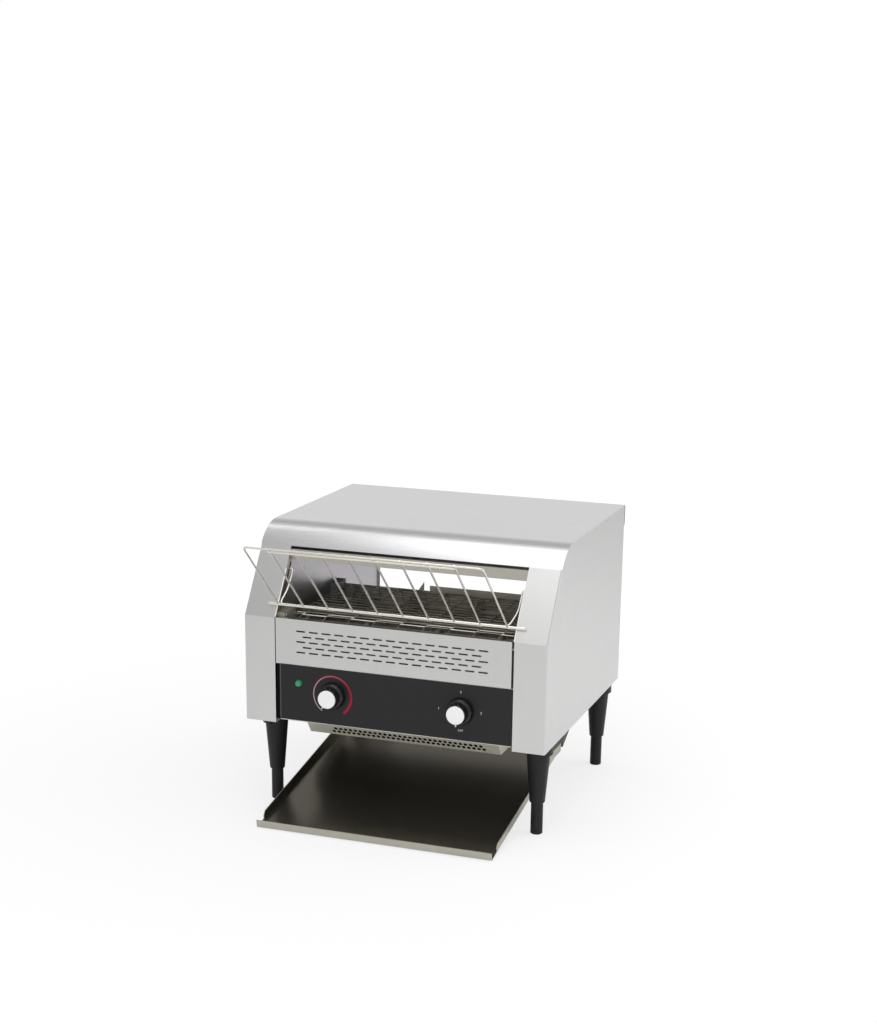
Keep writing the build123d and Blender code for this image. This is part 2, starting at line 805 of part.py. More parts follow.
hanger = along_x(
    polygon(
        (hanger_front, cheek_bottom),
        (hanger_front, hanger_bottom),
        (hanger_foot, hanger_bottom),
        (hanger_rear, cheek_bottom),
    ),
    hanger_x - sheet,
    hanger_x,
)
hanger += block(
    (half_bay + 1, hanger_x),
    (hanger_front, hanger_rear),
    (cheek_bottom - sheet, cheek_bottom),
)
hanger += block(
    (hanger_x - sheet - rail_width, hanger_x - sheet),
    (hanger_front, hanger_foot),
    (rail_height, rail_top),
)
save("right_tray_hanger", hanger)
save("left_tray_hanger", mirror(hanger, about=Plane.YZ))

# ---------------------------------------------------------------- legs and feet
sleeve = rod((0, 0, cheek_bottom - leg_flange), (0, 0, cheek_bottom), leg_flange_radius)
sleeve += rod((0, 0, leg_exposed), (0, 0, cheek_bottom - leg_flange), leg_foot_radius, leg_top_radius)
sleeve += rod((0, 0, cheek_bottom), (0, 0, cheek_bottom + sheet + 8), stud_radius)
stud_nut = extrude(Pos(0, 0, cheek_bottom + sheet) * RegularPolygon(stud_radius + 3.5, 6), 6)
sleeve += stud_nut
sleeve -= rod((0, 0, 0), (0, 0, leg_exposed + foot_engaged + foot_travel + 8), foot_radius + fit)
foot = rod((0, 0, 0), (0, 0, leg_exposed + foot_engaged), foot_radius)
foot = chamfer(foot.edges().group_by(Axis.Z)[0], 1)
for spot, (x, y) in leg_spots.items():
    save(f"{spot}_leg", Pos(x, y, 0) * sleeve)
    save(f"{spot}_foot", Pos(x, y, 0) * foot)


# ---------------------------------------------------------------- controls
def along_y(x, z, y0, y1, radius, end_radius=None):
    return rod((x, y0, z), (x, y1, z), radius, end_radius)


lamp = along_y(0, 0, 0, -lens_front, lamp_radius, lamp_radius - 1.5)
lamp += along_y(0, 0, 0, sheet, bushing_radius)
lamp += along_y(0, 0, sheet, 24, lamp_radius + 1)
save("pilot_lamp", Pos(lamp_x, 0, lamp_z) * lamp)

bushing = along_y(0, 0, -nut_height - 1, sheet, bushing_radius) + along_y(0, 0, -nut_height, 0, nut_radius)
bushing_hole = along_y(0, 0, -nut_height - 2, 12, spindle_radius + fit)
speed_body = bushing + along_y(0, 0, sheet, sheet + control_depth, control_radius) - bushing_hole
switch_half_span = (-switch_half, switch_half)
switch_body = bushing + block(switch_half_span, (sheet, sheet + switch_depth), switch_half_span) - bushing_hole
save("speed_control", Pos(speed_x, 0, speed_z) * speed_body)
save("selector_switch", Pos(selector_x, 0, selector_z) * switch_body)

spindle_front = -knob_face + knob_cap_depth + 2
spindle = along_y(0, 0, spindle_front, 11.5, spindle_radius)
skirt_front = -knob_gap - knob_skirt_depth
cap_rear = -knob_face + knob_cap_depth
knob = along_y(0, 0, -knob_gap, skirt_front, knob_skirt_radius, knob_skirt_radius - 2)
knob += along_y(0, 0, skirt_front, cap_rear, knob_grip_radius)
knob -= along_y(0, 0, 0, -nut_height - 2, nut_radius + 1)
knob -= along_y(0, 0, 0, spindle_front, spindle_radius)
cap = along_y(0, 0, cap_rear, -knob_face, knob_cap_radius)
cap = chamfer(cap.edges().group_by(Axis.Y)[0], 1)
for control, x, z in (("speed", speed_x, speed_z), ("selector", selector_x, selector_z)):
    save(f"{control}_spindle", Pos(x, 0, z) * spindle)
    save(f"{control}_knob", Pos(x, 0, z) * knob)
    save(f"{control}_knob_cap", Pos(x, 0, z) * cap)

# ---------------------------------------------------------------- electrics in the base
board_z = base_top + board_stand
board_right, board_rear = board_left + board_width, board_front + board_depth
board = block((board_left, board_right), (board_front, board_rear), (board_z, board_z + board_thick))
for post_x in (board_left + board_post_inset, board_right - board_post_inset):
    for post_y in (board_front + board_post_inset, board_rear - board_post_inset):
        board += rod((post_x, post_y, base_top), (post_x, post_y, board_z), board_post_radius)


def component(across, along, height):
    """Box on the board, its spans given as shares of the board's width and depth."""
    return block(
        [board_left + share * board_width for share in across],
        [board_front + share * board_depth for share in along],
        (board_z, board_z + height),
    )


board += component((0.1, 0.4), (0.2, 0.62), board_stand * 2.8)
board += component((0.55, 0.85), (0.12, 0.35), board_stand * 1.7)
capacitor_x, capacitor_y = board_left + 0.7 * board_width, board_front + 0.65 * board_depth
board += rod(
    (capacitor_x, capacitor_y, board_z),
    (capacitor_x, capacitor_y, board_z + board_stand * 2.2),
    board_width * 0.08,
)
save("control_board", board)

terminal_left = half_bay - terminal_inset
terminal_rear = base_depth - terminal_rear_gap
terminal_top = base_top + terminal_height
terminals = block(
    (terminal_left, terminal_left + terminal_width),
    (terminal_rear - terminal_depth, terminal_rear),
    (base_top, terminal_top),
)
way_pitch = terminal_width / terminal_ways
way_y = terminal_rear - terminal_depth / 2
for i in range(terminal_ways):
    way_x = terminal_left + (i + 0.5) * way_pitch
    terminals -= rod((way_x, way_y, terminal_top - 10), (way_x, way_y, terminal_top + 1), way_pitch / 4)
save("terminal_block", terminals)

gland_seat = body_depth - sheet
gland = along_y(gland_x, gland_z, gland_seat, gland_seat + 6, gland_flange)
gland += along_y(gland_x, gland_z, gland_seat + 6, gland_seat + gland_reach, gland_flange - 2, gland_bore + 2)
gland += along_y(gland_x, gland_z, rear_inside - 12, gland_seat, gland_thread)
gland += along_y(gland_x, gland_z, rear_inside - 5, rear_inside, gland_flange)
gland -= along_y(gland_x, gland_z, rear_inside - 13, gland_seat + gland_reach + 1, gland_bore)
save("cable_gland", gland)

# ---------------------------------------------------------------- screws
screw_x = half_pan + pan_flange
base_screws = [
    rod((x, y, base_height - screw_height), (x, y, base_height), screw_radius)
    for x in (-screw_x, screw_x)
    for y in (2 * screw_radius, base_depth - 20)
]
save("base_screws", Compound(base_screws))
rim_x = half_body - rear_rim / 2
rear_screws = [
    along_y(x, z, body_depth, body_depth + screw_height, screw_radius)
    for x in (-rim_x, rim_x)
    for z in (cheek_bottom + 30, rear_opening_top - 40, body_top - cover_lip - 15)
]
save("rear_screws", Compound(rear_screws))
bracket_face = -half_bay + bracket_width
bracket_screws = [
    rod((bracket_face, y, z), (bracket_face + 1.6, y, z), 2.5)
    for y in (front_axle_y - 17, rear_axle_y + 12)
    for z in (axle_z + bracket_above - 5, axle_z - bracket_below + 5)
]
save("bracket_screws", Compound(bracket_screws))
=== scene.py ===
"""Looks of the conveyor toaster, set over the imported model. Metres, in the row frame."""

import json
import math

import bmesh
import bpy
from mathutils import Matrix, Vector


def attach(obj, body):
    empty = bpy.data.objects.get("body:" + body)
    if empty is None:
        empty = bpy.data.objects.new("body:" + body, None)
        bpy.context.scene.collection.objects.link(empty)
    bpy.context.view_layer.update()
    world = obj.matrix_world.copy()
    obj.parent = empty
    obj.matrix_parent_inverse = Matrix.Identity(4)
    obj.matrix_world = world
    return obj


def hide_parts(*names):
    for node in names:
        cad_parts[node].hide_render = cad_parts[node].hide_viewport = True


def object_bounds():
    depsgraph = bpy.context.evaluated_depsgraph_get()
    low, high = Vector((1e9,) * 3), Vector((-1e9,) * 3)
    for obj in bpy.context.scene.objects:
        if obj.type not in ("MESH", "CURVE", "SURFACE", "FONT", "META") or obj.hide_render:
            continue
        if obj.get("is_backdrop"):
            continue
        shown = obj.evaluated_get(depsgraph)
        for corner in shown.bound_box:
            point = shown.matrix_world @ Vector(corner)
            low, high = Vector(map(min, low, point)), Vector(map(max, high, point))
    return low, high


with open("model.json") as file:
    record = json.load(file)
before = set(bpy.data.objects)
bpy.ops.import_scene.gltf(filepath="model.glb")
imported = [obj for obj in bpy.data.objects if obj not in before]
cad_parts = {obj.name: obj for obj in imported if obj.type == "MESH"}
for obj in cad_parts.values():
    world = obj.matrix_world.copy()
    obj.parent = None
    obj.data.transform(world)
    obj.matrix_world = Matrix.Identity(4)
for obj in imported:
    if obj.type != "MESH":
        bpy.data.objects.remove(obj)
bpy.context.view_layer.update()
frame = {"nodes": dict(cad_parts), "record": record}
nodes = frame["nodes"]

# Drawing sizes below are millimetres from the cheeks' front face, as in the part's source.
MM = 0.001
MIDDLE = 160.63864
BASE_UNDER, BODY_REAR, BEARING_FACE = 147.0, 418.0, -172.5
# The vent pan's sloped front: its lower edge, and how far it turns from upright.
PAN_Y, PAN_Z, PAN_COS, PAN_SIN = 54.2, 114.6, 0.813, 0.582


def at(x, y, z):
    """A point of the drawing, in metres in the row frame."""
    return Vector((x * MM, (y - MIDDLE) * MM, z * MM))


# ------------------------------------------------------------------ shader nodes
def add(tree, kind, inputs=(), **settings):
    """New shader node. An input takes a value, or a link where it is given a socket."""
    made = tree.nodes.new(f"ShaderNode{kind}")
    for name, value in settings.items():
        setattr(made, name, value)
    for key, value in dict(inputs).items():
        if isinstance(value, bpy.types.NodeSocket):
            tree.links.new(value, made.inputs[key])
        else:
            made.inputs[key].default_value = value
    return made


def calculated(tree, operation, *values):
    """Result of a Math node on values or sockets."""
    return add(tree, "Math", enumerate(values), operation=operation).outputs[0]


def mixed(tree, share, first, second):
    """Colour between two others, by a share from 0 to 1."""
    return add(tree, "Mix", {0: share, 6: first, 7: second}, data_type="RGBA").outputs[2]


def banded(tree, position, tones):
    """Colour that passes through several tones, each at its own position from 0 to 1."""
    ramp = add(tree, "ValToRGB", {"Fac": position})
    stops = ramp.color_ramp.elements
    for stop, (place, color) in ((stops[0], tones[0]), (stops[1], tones[-1])):
        stop.position = place
        stop.color = (*color, 1)
    for place, color in tones[1:-1]:
        stops.new(place).color = (*color, 1)
    return ramp.outputs["Color"]


# ------------------------------------------------------------------ materials
GRAIN_DEPTH = 0.3


def surface(
    name,
    color,
    metallic=0.0,
    rough=0.5,
    grain=(900, 900, 900),
    grain_rough=0.08,
    bump=0.05,
    blotch=0.05,
    blotch_scale=22.0,
    **sockets,
):
    """Principled material with a grain, stretched by its three scales, and a slow change of tone."""
    material = bpy.data.materials.new(name)
    material.use_nodes = True
    tree = material.node_tree
    place = add(tree, "TexCoord").outputs["Object"]
    stretched = add(tree, "Mapping", {"Vector": place, "Scale": grain}).outputs["Vector"]
    fine = add(tree, "TexNoise", {"Vector": stretched, "Scale": 1.0, "Detail": 3.0}).outputs["Fac"]
    slow = add(tree, "TexNoise", {"Vector": place, "Scale": blotch_scale, "Detail": 4.0}).outputs["Fac"]
    darker = (*[c * (1 - blotch) for c in color], 1)
    paler = (*[min(1, c * (1 + blotch)) for c in color], 1)
    spread = calculated(tree, "MULTIPLY_ADD", fine, grain_rough, rough - grain_rough / 2)
    relief = add(tree, "Bump", {"Strength": bump, "Distance": GRAIN_DEPTH * MM, "Height": fine})
    shader = tree.nodes["Principled BSDF"]
    tree.links.new(mixed(tree, slow, darker, paler), shader.inputs["Base Color"])
    tree.links.new(spread, shader.inputs["Roughness"])
    tree.links.new(relief.outputs["Normal"], shader.inputs["Normal"])
    shader.inputs["Metallic"].default_value = metallic
    for socket, value in sockets.items():
        shader.inputs[socket.replace("_", " ")].default_value = value
    return material


ALONG_X = (9, 1500, 1500)
ALONG_Y = (1500, 9, 1500)
ALONG_Z = (1500, 1500, 9)
sheet_metal = dict(metallic=1.0, grain_rough=0.14, bump=0.1, blotch=0.02)
even_coat = dict(grain_rough=0.03, bump=0.01)
brushed_x = surface("brushed_steel_x", (0.69, 0.69, 0.70), rough=0.29, grain=ALONG_X, **sheet_metal)
brushed_z = surface("brushed_steel_z", (0.68, 0.68, 0.675), rough=0.34, grain=ALONG_Z, **sheet_metal)
panel_steel = surface("panel_steel", (0.65, 0.65, 0.635), rough=0.31, grain=ALONG_X, **sheet_metal)
plain_steel = surface("plain_steel", (0.47, 0.46, 0.485), rough=0.30, grain=ALONG_Y, **sheet_metal)
warm_steel = surface(
    "warm_steel", (0.76, 0.74, 0.65), metallic=0.5, rough=0.38, grain=ALONG_X, grain_rough=0.1, bump=0.06
)
tray_steel = surface("tray_steel", (0.52, 0.50, 0.43), metallic=0.65, rough=0.38, grain=ALONG_X, bump=0.06)
# Painted shade: the base plate is darkened so that the tray mirrors a dark underside.
shaded_zinc = surface("shaded_zinc_sheet", (0.16, 0.16, 0.15), metallic=0.7, grain=ALONG_X, blotch=0.12)
baffle_steel = surface("baffle_steel", (0.24, 0.24, 0.235), metallic=0.3, grain=ALONG_X)
reflector = surface("reflector_sheet", (0.52, 0.50, 0.45), rough=0.38, grain=ALONG_X, **sheet_metal)
# Painted light: the chute is near-white and not metallic, so that its lip shows lit in the chamber's shade.
chute_lit_steel = surface("chute_lit_steel", (0.95, 0.91, 0.78), rough=0.42, grain=ALONG_X, blotch=0.06)
wire_steel = surface("rack_wire", (0.86, 0.83, 0.77), metallic=0.75, rough=0.24)
belt_steel = surface(
    "belt_wire", (0.42, 0.395, 0.33), metallic=0.75, rough=0.34, blotch=0.22, blotch_scale=70
)
highlight_wire = surface("belt_wire_highlight", (0.92, 0.89, 0.81), metallic=0.2, rough=0.3, blotch=0.08)
shaft_steel = surface("shaft_steel", (0.42, 0.40, 0.36), metallic=1.0, rough=0.38)
bracket_steel = surface("bracket_steel", (0.37, 0.34, 0.28), metallic=0.4, rough=0.42, blotch=0.12)
sheath = surface("element_sheath", (0.20, 0.18, 0.16), metallic=0.7, blotch=0.2)
panel_black = surface("black_panel", (0.017, 0.017, 0.019), rough=0.3, Specular_IOR_Level=0.25, **even_coat)
bracket_black = surface("dark_bracket", (0.022, 0.02, 0.018), metallic=0.2)
tray_coat = surface(
    "tray_coat", (0.20, 0.18, 0.15), metallic=0.9, rough=0.24, grain=ALONG_Y, blotch=0.06, **even_coat
)
leg_black = surface(
    "black_plastic", (0.014, 0.013, 0.014), rough=0.42, grain_rough=0.1, bump=0.12, Specular_IOR_Level=0.3
)
knob_black = surface("knob_black", (0.010, 0.010, 0.011), rough=0.18, grain_rough=0.04, bump=0.02)
# Painted highlight for the cheeks' rolled inner edges.
hem_highlight = surface("hem_highlight", (0.93, 0.92, 0.88), metallic=0.1, rough=0.4)
# Painted highlight: lighter grey for the rounded fold at the black panel's left edge.
fold_highlight_grey = surface("panel_fold_highlight", (0.085, 0.085, 0.08), rough=0.4)
# Near-black material for sheets that stand in for shade, in gaps and behind holes.
shadow_black = surface("vent_shade_sheet", (0.006, 0.006, 0.006), rough=0.9, Specular_IOR_Level=0.1)
cap_metal = surface("knob_cap", (0.98, 0.98, 0.98), rough=0.3, blotch=0.01)
green_lens = surface("green_lens", (0.02, 0.30, 0.13), rough=0.16, grain_rough=0.04, Coat_Weight=0.6)
ceramic = surface("ceramic", (0.78, 0.76, 0.70), rough=0.45)
motor_grey = surface("motor_grey", (0.22, 0.23, 0.24), rough=0.45, metallic=0.3)
board_green = surface("board_green", (0.03, 0.13, 0.06), rough=0.4)
screw_steel = surface("screw_steel", (0.62, 0.62, 0.61), metallic=1.0, rough=0.28)
print_red = surface("print_red", (0.36, 0.010, 0.035), rough=0.4, Specular_IOR_Level=0.2)
print_white = surface("print_white", (0.75, 0.75, 0.75), rough=0.45)


def repainted(base, name, paint):
    """Copy of a material, with its colour made by paint(tree, coordinates, old colour)."""
    material = base.copy()
    material.name = name
    tree = material.node_tree
    color = tree.nodes["Principled BSDF"].inputs["Base Color"]
    coords = add(tree, "TexCoord").outputs
    tree.links.new(paint(tree, coords, color.links[0].from_socket), color)
    return material


ARC_HUB = (-93.8, 192.3)
ARC_TURN = math.radians(-57)
ARC_TONES = (
    (0.42, (0.36, 0.010, 0.035)),
    (0.60, (0.44, 0.07, 0.10)),
    (0.78, (0.52, 0.27, 0.29)),
    (0.99, (0.66, 0.55, 0.55)),
)


def pink_to_red(tree, coords, tone):
    """The dial's arc turns from pale pink to red round the dial's centre."""
    hub = Matrix.Rotation(ARC_TURN, 3, "Z") @ Vector((*ARC_HUB, 0)) * MM
    upright = (math.radians(-90), 0, ARC_TURN)
    turned = add(tree, "Mapping", {"Vector": coords["Object"], "Location": -hub, "Rotation": upright})
    sweep = add(tree, "TexGradient", {"Vector": turned.outputs["Vector"]}, gradient_type="RADIAL")
    return banded(tree, sweep.outputs["Fac"], ARC_TONES)


CHEEK_INWARD = (0, 0.834, -0.552)
CHEEK_PLANE, SHADE_WIDTH = -300.95, 14.5


def jamb_shade(tree, coords, tone):
    """Painted shade: a darker strip along the front of the inner walls, where the cheeks fold back into the
    opening.
    """
    depth = add(tree, "VectorMath", {0: coords["Object"], 1: CHEEK_INWARD}, operation="DOT_PRODUCT")
    strip = calculated(tree, "LESS_THAN", depth.outputs["Value"], (CHEEK_PLANE + SHADE_WIDTH) * MM)
    return mixed(tree, strip, tone, (0.34, 0.32, 0.27, 1))


arc_print = repainted(print_red, "arc_print", pink_to_red)
jamb = repainted(plain_steel, "inner_wall_steel", jamb_shade)


def punched(base, name, out, across, upright, underside=False):
    """Copy of a sheet's material with painted shade on the walls of its holes, and painted shade on its
    underside where asked.

    out is the direction that the sheet faces. The holes lie within the ranges of x and z.
    """

    def hole_shade(tree, coords, tone):
        facing = add(tree, "VectorMath", {0: coords["Normal"], 1: out}, operation="DOT_PRODUCT")
        place = add(tree, "SeparateXYZ", {0: coords["Object"]}).outputs
        dark = None
        for value, low, high in (
            (facing.outputs["Value"], -0.3, 0.3),
            (place["X"], across[0] * MM, across[1] * MM),
            (place["Z"], upright[0] * MM, upright[1] * MM),
        ):
            within = calculated(tree, "COMPARE", value, (low + high) / 2, (high - low) / 2)
            dark = calculated(tree, "MULTIPLY", dark, within) if dark else within
        if underside:
            normal = add(tree, "SeparateXYZ", {0: coords["Normal"]}).outputs
            dark = calculated(tree, "MAXIMUM", calculated(tree, "LESS_THAN", normal["Z"], -0.9), dark)
        # Near-black, as painted shade in the holes and under the sheet.
        return mixed(tree, dark, tone, (0.03, 0.028, 0.025, 1))

    return repainted(base, name, hole_shade)


pan_steel = punched(warm_steel, "pan_steel", (0, -PAN_COS, -PAN_SIN), (-120, 136), (117, 139), underside=True)
slotted_steel = punched(panel_steel, "slotted_steel", (0, 1, 0), (-152, 148), (251, 288))

slot_materials = {
    "brushed_steel": brushed_x,
    "inner_steel": plain_steel,
    "reflector_sheet": reflector,
    "black_panel": panel_black,
    "tray_coat": tray_coat,
    "dark_bracket": bracket_black,
    "rack_wire": wire_steel,
    "belt_wire": belt_steel,
    "shaft_steel": shaft_steel,
    "element_sheath": sheath,
    "ceramic": ceramic,
    "black_plastic": leg_black,
    "knob_black": knob_black,
    "knob_cap": cap_metal,
    "green_lens": green_lens,
    "motor_grey": motor_grey,
    "board_green": board_green,
    "screw_steel": screw_steel,
}
node_materials = {
    "left_side_panel": brushed_z,
    "right_side_panel": brushed_z,
    "left_inner_wall": jamb,
    "right_inner_wall": jamb,
    "slotted_front_panel": slotted_steel,
    "vent_pan": pan_steel,
    "base_plate": shaded_zinc,
    "toast_chute": chute_lit_steel,
    "rear_deflector": tray_coat,
    "inner_vent_baffle": baffle_steel,
    "front_left_bearing": bracket_steel,
    "rear_left_bearing": baffle_steel,
    "front_right_bearing": bracket_steel,
    "rear_right_bearing": bracket_steel,
}
for part in frame["record"]["subparts"]:
    carried = nodes[part["node"]].data
    carried.materials.clear()
    carried.materials.append(node_materials.get(part["node"], slot_materials[part["material_slot"]]))


# ------------------------------------------------------------------ shapes
def edges(obj, width, segments=2, angle=40):
    """Round the sharp edges of a piece."""
    bevel = obj.modifiers.new("edge", "BEVEL")
    bevel.width = width * MM
    bevel.segments = segments
    bevel.limit_method = "ANGLE"
    bevel.angle_limit = math.radians(angle)
    return bevel


sheet_rounds = {
    "left_side_panel": 0.6,
    "right_side_panel": 0.6,
    "top_cover": 0.4,
    "control_panel": 0.8,
    "slotted_front_panel": 0.12,
    "base_plate": 0.35,
    "vent_pan": 0.08,
    "upper_reflector": 0.35,
    "toast_chute": 0.35,
    "rear_panel": 0.35,
}
for name, width in sheet_rounds.items():
    edges(nodes[name], width, angle=50).harden_normals = True


def piece(name, mesh, material, body):
    """Link a mesh or curve, give it its material and let it ride on its body."""
    obj = bpy.data.objects.new(name, mesh)
    bpy.context.collection.objects.link(obj)
    mesh.materials.append(material)
    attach(obj, body)
    return obj


def smooth(mesh, angle=35):
    """Shade a mesh smoothly, apart from its edges above an angle in degrees."""
    mesh.polygons.foreach_set("use_smooth", [True] * len(mesh.polygons))
    mesh.set_sharp_from_angle(angle=math.radians(angle))


def rounded(points, radius, steps=4):
    """Path with its corners replaced by short arcs, of up to a radius in millimetres."""
    path = [points[0]]
    for a, b, c in zip(points, points[1:], points[2:]):
        to_a, to_c = (a - b), (c - b)
        cut = min(radius * MM, to_a.length * 0.49, to_c.length * 0.49)
        p, q = b + to_a.normalized() * cut, b + to_c.normalized() * cut
        for i in range(steps + 1):
            t = i / steps
            path.append(p * (1 - t) ** 2 + b * 2 * t * (1 - t) + q * t**2)
    path.append(points[-1])
    return path


def wires(name, paths, radius, material, body, sides=3):
    """Round wires along several paths, in one curve object."""
    curve = bpy.data.curves.new(name, "CURVE")
    curve.dimensions = "3D"
    curve.bevel_depth = radius * MM
    curve.bevel_resolution = sides
    curve.use_fill_caps = True
    for path in paths:
        spline = curve.splines.new("POLY")
        spline.points.add(len(path) - 1)
        for point, place in zip(spline.points, path):
            point.co = (*place, 1)
        spline.use_smooth = True
    return piece(name, curve, material, body)


def lying(u, v, w):
    """Place for an outline in x and z that is drawn out along Y."""
    return at(u, w, v)


def endways(u, v, w):
    """Place for an outline in y and z that is drawn out along X."""
    return at(w, u, v)


def bridge(shape, rings):
    """Side faces between one ring of vertices and the next."""
    for low, high in zip(rings, rings[1:]):
        for i in range(len(low)):
            j = (i + 1) % len(low)
            shape.faces.new((low[i], low[j], high[j], high[i]))


def closed_mesh(name, shape):
    """Mesh of a closed shape, with its faces turned outwards."""
    bmesh.ops.recalc_face_normals(shape, faces=shape.faces)
    mesh = bpy.data.meshes.new(name)
    shape.to_mesh(mesh)
    shape.free()
    return mesh


def lathe(name, centre, profile, material, body, place=lying, segments=72, flutes=0.0):
    """Turn a profile of (radius, rise) millimetres round a line along Y, or along Z with place=at."""
    shape = bmesh.new()
    rings = []
    for radius, rise in profile:
        ring = []
        for i in range(segments):
            turn = 2 * math.pi * i / segments
            reach = radius - flutes * (0.5 + 0.5 * math.cos(12 * turn)) ** 2
            u, v = centre[0] + reach * math.cos(turn), centre[1] + reach * math.sin(turn)
            ring.append(shape.verts.new(place(u, v, rise)))
        rings.append(ring)
    bridge(shape, rings)
    shape.faces.new(rings[0])
    shape.faces.new(rings[-1])
    mesh = closed_mesh(name, shape)
    smooth(mesh)
    return piece(name, mesh, material, body)


def prism(name, outline, start, end, material, body, width=0.3, place=lying):
    """Draw an outline out along Y, or along Z with place=at, and round its edges."""
    shape = bmesh.new()
    ends = [[shape.verts.new(place(u, v, w)) for u, v in outline] for w in (start, end)]
    shape.faces.new(ends[0])
    shape.faces.new(ends[1])
    bridge(shape, ends)
    obj = piece(name, closed_mesh(name, shape), material, body)
    edges(obj, width)
    return obj


def rectangle(left, right, low, high):
    """Outline of a rectangle, for prism()."""
    return [(left, low), (right, low), (right, high), (left, high)]


# ------------------------------------------------------------------ conveyor belt
AXLE_Z, FRONT_AXLE, REAR_AXLE, TURN_RADIUS = 281.0, 32.0, 228.0, 21.6
BELT_LEFT, BELT_RIGHT, STRANDS = -169.4, 179.4, 35
EDGE_RUN, RUN_WIDTH, INNER_TURNS = 15, 38.76, 9
WIRE, HOOK_PLAY, HOOK_BEND = 0.75, 0.3, 2.4
STRAIGHT = REAR_AXLE - FRONT_AXLE
HALF_LOOP = STRAIGHT + math.pi * TURN_RADIUS
PITCH = 2 * HALF_LOOP / STRANDS


def belt_frame(s):
    """Point, travel direction and outward direction (y, z) at a distance along the belt."""
    back_half, s = divmod(s, HALF_LOOP)
    sign = -1 if back_half else 1
    start, end = (REAR_AXLE, FRONT_AXLE) if back_half else (FRONT_AXLE, REAR_AXLE)
    if s <= STRAIGHT:
        return (start + sign * s, AXLE_Z + sign * TURN_RADIUS), (sign, 0.0), (0.0, sign)
    angle = (s - STRAIGHT) / TURN_RADIUS
    out = (sign * math.sin(angle), sign * math.cos(angle))
    return (end + TURN_RADIUS * out[0], AXLE_Z + TURN_RADIUS * out[1]), (out[1], -out[0]), out


def strand(index):
    """One zigzag wire: each run hooks over the run of the strand in front of it."""
    place, along, out = belt_frame((index + 0.5) * PITCH)
    swing = (PITCH + 2 * WIRE + HOOK_PLAY) / 2
    inner = [BELT_LEFT + EDGE_RUN + k * RUN_WIDTH for k in range(INNER_TURNS)]
    turns = [BELT_LEFT, *inner, BELT_RIGHT]
    corners = []
    for k, ends in enumerate(zip(turns, turns[1:])):
        level = -swing if k % 2 else swing
        lift = WIRE if k % 2 else -WIRE
        for x in ends:
            y = place[0] + along[0] * level + out[0] * lift
            z = place[1] + along[1] * level + out[1] * lift
            corners.append(at(x, y, z))
    return rounded(corners, HOOK_BEND, 3)


# The front strand is painted pale as the highlight on the wires at the belt's front edge, and is a little
# thicker.
for name, indices, metal, radius in (
    ("belt_strands", range(1, STRANDS), belt_steel, WIRE),
    ("belt_front_strand", range(1), highlight_wire, 0.85),
):
    belt = wires(name, [strand(i) for i in indices], radius, metal, "chassis", 2)
    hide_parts("conveyor_belt")

# ------------------------------------------------------------------ feed rack
RACK_Y, RACK_Z, RACK_REACH, RACK_TILT = 9.457, 321.407, 162, math.radians(43)
RACK_MIDDLE, RACK_PITCH, RACK_BARS = -5.5, 39.0, 8
LOOP = RACK_PITCH * 4.5 + 1.5
RACK_LEFT, RACK_RIGHT = RACK_MIDDLE - LOOP, RACK_MIDDLE + LOOP
UP_Y, UP_Z = -math.cos(RACK_TILT), math.sin(RACK_TILT)
TOP_Y, TOP_Z = RACK_Y + RACK_REACH * UP_Y, RACK_Z + RACK_REACH * UP_Z
THIN_Y, THIN_Z = RACK_Y + 3.2, RACK_Z - 0.6
HOOK = ((189, 55, 365), (179, 55, 365), (179, 50, 357), (179, 34, 338))
ROD_REACH = 198


def on_rack(x, drop):
    """A point of the rack's fan of wires, at a distance below its top rod."""
    return at(x, TOP_Y - drop * UP_Y, TOP_Z - drop * UP_Z)


rack_frame = [on_rack(RACK_LEFT, RACK_REACH), on_rack(RACK_LEFT, 1.8)]
rack_frame += [on_rack(RACK_RIGHT, 1.8), on_rack(RACK_RIGHT, RACK_REACH)]
rack_paths = [rounded(rack_frame, 7, 8)]
under = Vector((0, -2.05, -2.2)) * MM
rack_paths.append([on_rack(x, 3.2) + under for x in (RACK_LEFT + RACK_PITCH, RACK_RIGHT - RACK_PITCH)])
for i in range(RACK_BARS):
    x = RACK_MIDDLE + (i - (RACK_BARS - 1) / 2) * RACK_PITCH
    rack_paths.append([on_rack(x, RACK_REACH + 3.4), on_rack(x, -0.4)])
thin_wire = [at(-x, y, z) for x, y, z in HOOK]
thin_wire += [at(x, THIN_Y, THIN_Z) for x in (RACK_LEFT, RACK_RIGHT)]
thin_wire += [at(x, y, z) for x, y, z in reversed(HOOK)]
rack_paths.append(rounded(thin_wire, 9, 6))
rack = wires("rack_wires", rack_paths, 1.49, wire_steel, "bread_rack", 4)
rod = [at(x, RACK_Y, RACK_Z) for x in (-ROD_REACH, ROD_REACH)]
bar = wires("rack_bar", [rod], 2.23, wire_steel, "bread_rack", 5)
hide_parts("feed_rack")
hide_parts("feed_rack")

# ------------------------------------------------------------------ toast tray
SLOPE = math.radians(9.9)
TRAY_FRONT, TRAY_REAR, TRAY_LOW, HALF_TRAY = -76.7, 272.0, 1.2, 183.0
TRAY_LENGTH = (TRAY_REAR - TRAY_FRONT) / math.cos(SLOPE)
RIM, RIM_START, TRAY_SHEET = 11.6, 24.0, 1.1


def on_tray(x, u, v):
    """A point on the tray: u up its slope, v square to its floor."""
    y = TRAY_FRONT + u * math.cos(SLOPE) - v * math.sin(SLOPE)
    return at(x, y, TRAY_LOW + u * math.sin(SLOPE) + v * math.cos(SLOPE))


